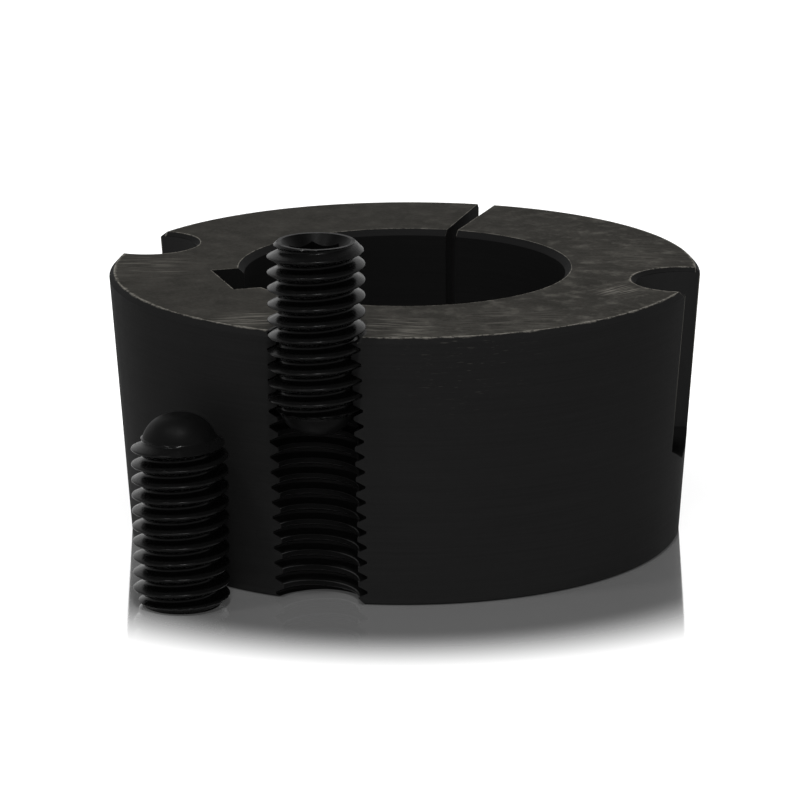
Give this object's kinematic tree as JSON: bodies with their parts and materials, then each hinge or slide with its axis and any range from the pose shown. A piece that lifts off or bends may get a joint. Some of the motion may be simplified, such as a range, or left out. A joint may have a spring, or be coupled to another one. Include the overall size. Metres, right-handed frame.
{
  "type": "split taper bush",
  "caption": "Split taper bush with a keyed bore and half-holes in its tapered rim. A socket set screw sits started in the threaded half-hole and its twin stands beside it.",
  "frame": {"origin": "centre of the shaft bore in the plane of the small-end face, on which the bush stands", "axes": "+Z along the bore from the small end to the large end, +Y through the saw slit, -Y through the threaded half-hole"},
  "size_m": [0.0696, 0.0779, 0.0422],
  "materials": {
    "bush_iron": "turned and phosphated, satin near-black",
    "screw_steel": "oiled black oxide, glossy"
  },
  "bodies": {
    "root": {"bush_body": "bush_iron", "seated_set_screw": "screw_steel", "loose_set_screw": "screw_steel"}
  },
  "joints": []
}
